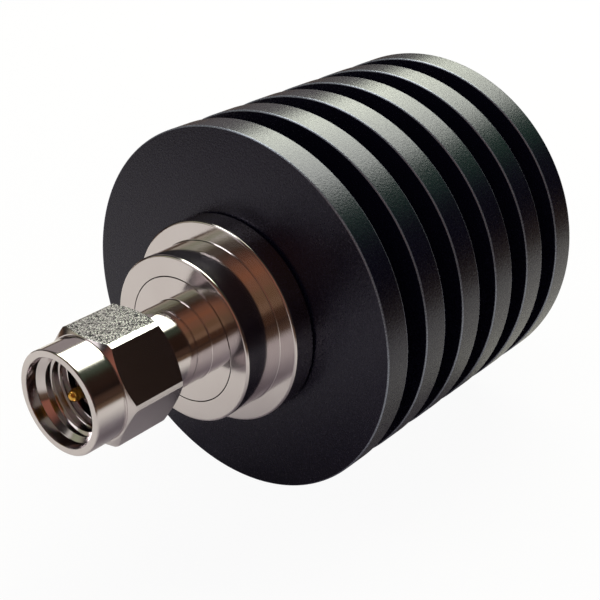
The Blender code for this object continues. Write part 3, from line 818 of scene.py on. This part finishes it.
def makeFloor():
    s = floorLook
    deselectAll()
    bpy.ops.mesh.primitive_plane_add(size=s["size"] * mm, location=(0, 0, s["height"] * mm))
    floor = rename(bpy.context.object, "studioFloor")
    bpy.ops.object.transform_apply(location=True, rotation=True, scale=True)
    mat = bpy.data.materials.new("paperFloor")
    tree = emptyTree(mat)
    place = addNode(tree, "ShaderNodeTexCoord").outputs["Object"]
    level = addNode(tree, "ShaderNodeVectorMath", {"operation": 'MULTIPLY'}, {0: place, 1: (1, 1, 0)})
    lit = [c * mm for c in s["lit"]]
    distance = addNode(tree, "ShaderNodeVectorMath", {"operation": 'DISTANCE'}, {0: level.outputs[0], 1: lit})
    # painted pool of light: in mirrors the floor's colour and glow darken with distance from the lit point
    paintedFalloff = addNode(tree, "ShaderNodeMapRange", {"interpolation_type": 'SMOOTHSTEP'}, {
        0: distance.outputs[1], 1: s["paintedPoolUntil"] * mm, 2: s["paintedDarkFrom"] * mm})
    path, plain = rayKinds(tree)
    mirrored = addNode(tree, "ShaderNodeMath", {"operation": 'MULTIPLY'},
                       {0: path.outputs["Is Glossy Ray"], 1: paintedFalloff.outputs[0]})
    colour = addNode(tree, "ShaderNodeMix", {"data_type": 'RGBA'}, {
        0: mirrored.outputs[0], 6: toLinear(s["paper"]), 7: toLinear(s["paintedFarDark"])})
    whiteness = addNode(tree, "ShaderNodeMix", {"data_type": 'RGBA'}, {
        0: mirrored.outputs[0], 6: (1, 1, 1, 1), 7: toLinear(s["paintedFarDark"])})
    diffuse = addNode(tree, "ShaderNodeBsdfDiffuse", inputs={"Color": colour.outputs[2]})
    white = addNode(tree, "ShaderNodeEmission", inputs={"Color": whiteness.outputs[2], "Strength": 1.0})
    toCamera = addNode(tree, "ShaderNodeMath", {"operation": 'MULTIPLY'},
                       {0: plain.outputs[0], 1: s["cameraWhite"]})
    share = addNode(tree, "ShaderNodeMath", {"operation": 'MULTIPLY_ADD'}, {
        0: path.outputs["Is Glossy Ray"], 1: s["mirrorWhite"], 2: toCamera.outputs[0]})
    look = addNode(tree, "ShaderNodeMixShader", inputs={0: share.outputs[0], 1: diffuse.outputs[0],
                                                        2: white.outputs[0]})
    addNode(tree, "ShaderNodeOutputMaterial", inputs={0: look.outputs[0]})
    floor.data.materials.append(mat)


makeFloor()


# surroundings: white to the camera, an even light for the object, and patches that only the bright
# metal mirrors. A patch is (along, phi, inner and outer angle, colour, strength).
surroundings = {
    "ambient": "#958a8e",
    "mirrorBase": "#2e2a28",
    "patches": [
        # what the round sides mirror
        (0.56, 21.3, 12, 24, "#9a928f", 1.0),
        (0.56, 115.0, 22, 34, "#3a4234", 1.0),
        (0.55, 148.8, 12, 28, "#2b1d15", 1.0),
        (0.79, 175.3, 14, 26, "#0d0c0b", 1.0),
        (0.50, 178.0, 4, 14, "#4a372b", 1.0),
        (0.78, 118.6, 7, 15, "#4f9a68", 1.3),
        # what the faces and the inside of the nut mirror: a glow before the plug, a ring of patches
        # round the axis, and a small window
        (-0.99, 196.7, 12, 34, "#9a6250", 1.0),
        (-0.65, 5.3, 10, 20, "#b8b49f", 1.0),
        (-0.65, 27.2, 8, 16, "#9fa68a", 1.0),
        (-0.65, 43.9, 5, 12, "#83856a", 1.0),
        (-0.65, 59.0, 8, 14, "#575042", 1.0),
        (-0.65, 71.6, 4, 9, "#503a28", 1.0),
        (-0.65, 84.0, 4, 10, "#704e3a", 1.0),
        (-0.65, 99.8, 6, 13, "#8f6449", 1.0),
        (-0.65, 114.9, 6, 13, "#9f6c4c", 1.0),
        (-0.65, 130.2, 8, 14, "#946c50", 1.0),
        (-0.65, 144.6, 6, 12, "#876a4c", 1.0),
        (-0.65, 159.9, 5, 10, "#93775a", 1.0),
        (-0.65, 174.7, 5, 11, "#553d2b", 1.0),
        (-0.805, 28.3, 6, 13, "#f4f2ee", 1.6),
    ],
}


def makeSurroundings():
    world = bpy.data.worlds.new("studio")
    bpy.context.scene.world = world
    tree = emptyTree(world)
    direction = addNode(tree, "ShaderNodeTexCoord").outputs["Generated"]
    seen = toLinear(surroundings["mirrorBase"])
    for along, phi, inner, outer, colour, strength in surroundings["patches"]:
        near = addNode(tree, "ShaderNodeVectorMath", {"operation": 'DOT_PRODUCT'},
                       {0: direction, 1: wayOut(along, phi)})
        edge = addNode(tree, "ShaderNodeMapRange", {"interpolation_type": 'SMOOTHSTEP'}, {
            0: near.outputs[1], 1: cos(radians(outer)), 2: cos(radians(inner))})
        shade = [c * strength for c in toLinear(colour)[:3]] + [1.0]
        seen = addNode(tree, "ShaderNodeMix", {"data_type": 'RGBA'}, {
            0: edge.outputs[0], 6: seen, 7: shade}).outputs[2]
    path, plain = rayKinds(tree)
    glossy = addNode(tree, "ShaderNodeMix", {"data_type": 'RGBA'}, {
        0: path.outputs["Is Glossy Ray"], 6: toLinear(surroundings["ambient"]), 7: seen})
    whole = addNode(tree, "ShaderNodeMix", {"data_type": 'RGBA'}, {
        0: plain.outputs[0], 6: glossy.outputs[2], 7: (1.0, 1.0, 1.0, 1.0)})
    light = addNode(tree, "ShaderNodeBackground", inputs={"Color": whole.outputs[2]})
    addNode(tree, "ShaderNodeOutputWorld", inputs={0: light.outputs[0]})


makeSurroundings()


# soft boxes: a large one above the object and a smaller one nearer to the nut, both brightest in the middle.
# A box stands far mm away from the point it aims at, in the direction of along and phi.
softBoxes = [
    {"name": "largeSoftBox", "aim": (12, 0, 0), "along": 0.60, "phi": 77, "far": 320,
     "size": (320, 340), "fades": ((0.12, 0.28), (0.10, 0.16)), "watts": 2.70, "tint": "#f9ffe6"},
    {"name": "smallSoftBox", "aim": (12, 0, 0), "along": -0.28, "phi": 67, "far": 320,
     "size": (160, 160), "fades": ((0.15, 0.15), (0.15, 0.15)), "watts": 0.40, "tint": "#fffff8"},
]


def makeSoftBox(s):
    lamp = bpy.data.lights.new(s["name"], 'AREA')
    lamp.shape = 'RECTANGLE'
    lamp.size, lamp.size_y = (side * mm for side in s["size"])
    lamp.energy = s["watts"]
    lamp.color = toLinear(s["tint"])[:3]
    tree = emptyTree(lamp)
    spot = addNode(tree, "ShaderNodeSeparateXYZ",
                   inputs={0: addNode(tree, "ShaderNodeNewGeometry").outputs["Parametric"]})
    strength = None
    for side, (lowFade, highFade) in enumerate(s["fades"]):
        for low, high in ((0.0, lowFade), (1.0, 1.0 - highFade)):
            edge = addNode(tree, "ShaderNodeMapRange", {"interpolation_type": 'SMOOTHSTEP'}, {
                0: spot.outputs[side], 1: low, 2: high})
            if strength:
                edge = addNode(tree, "ShaderNodeMath", {"operation": 'MULTIPLY'},
                               {0: strength.outputs[0], 1: edge.outputs[0]})
            strength = edge
    glow = addNode(tree, "ShaderNodeEmission", inputs={"Strength": strength.outputs[0]})
    addNode(tree, "ShaderNodeOutputLight", inputs={0: glow.outputs[0]})
    lampObject = bpy.data.objects.new(s["name"], lamp)
    bpy.context.scene.collection.objects.link(lampObject)
    away = wayOut(s["along"], s["phi"])
    across = wayOut(0, s["phi"] + 90)
    turn = Matrix((across, away.cross(across), away)).transposed().to_4x4()
    lampObject.matrix_world = Matrix.Translation((Vector(s["aim"]) + away * s["far"]) * mm) @ turn


for softBox in softBoxes:
    makeSoftBox(softBox)
print("light ready")


# camera, fitted to the photograph
cameraFit = {"place": (-45.56, -55.48, 41.07), "yaw": 39.39, "pitch": -26.23, "roll": -0.14,
             "focal": 1191.1, "frame": 600, "sensor": 36.0, "sees": (0.005, 10)}


def makeCamera():
    s = cameraFit
    yaw, pitch, roll = (radians(s[k]) for k in ("yaw", "pitch", "roll"))
    ahead = Vector((cos(pitch) * cos(yaw), cos(pitch) * sin(yaw), sin(pitch)))
    right = ahead.cross(Vector((0, 0, 1))).normalized()
    up = right.cross(ahead)
    rightTurned = right * cos(roll) + up * sin(roll)
    upTurned = up * cos(roll) - right * sin(roll)
    data = bpy.data.cameras.new("photoCamera")
    data.sensor_width = s["sensor"]
    data.lens = s["sensor"] * s["focal"] / s["frame"]
    data.clip_start, data.clip_end = s["sees"]
    camera = bpy.data.objects.new("photoCamera", data)
    bpy.context.scene.collection.objects.link(camera)
    turn = Matrix((rightTurned, upTurned, -ahead)).transposed().to_4x4()
    camera.matrix_world = Matrix.Translation(Vector(s["place"]) * mm) @ turn
    bpy.context.scene.camera = camera


makeCamera()
bpy.context.scene.view_settings.view_transform = 'Standard'
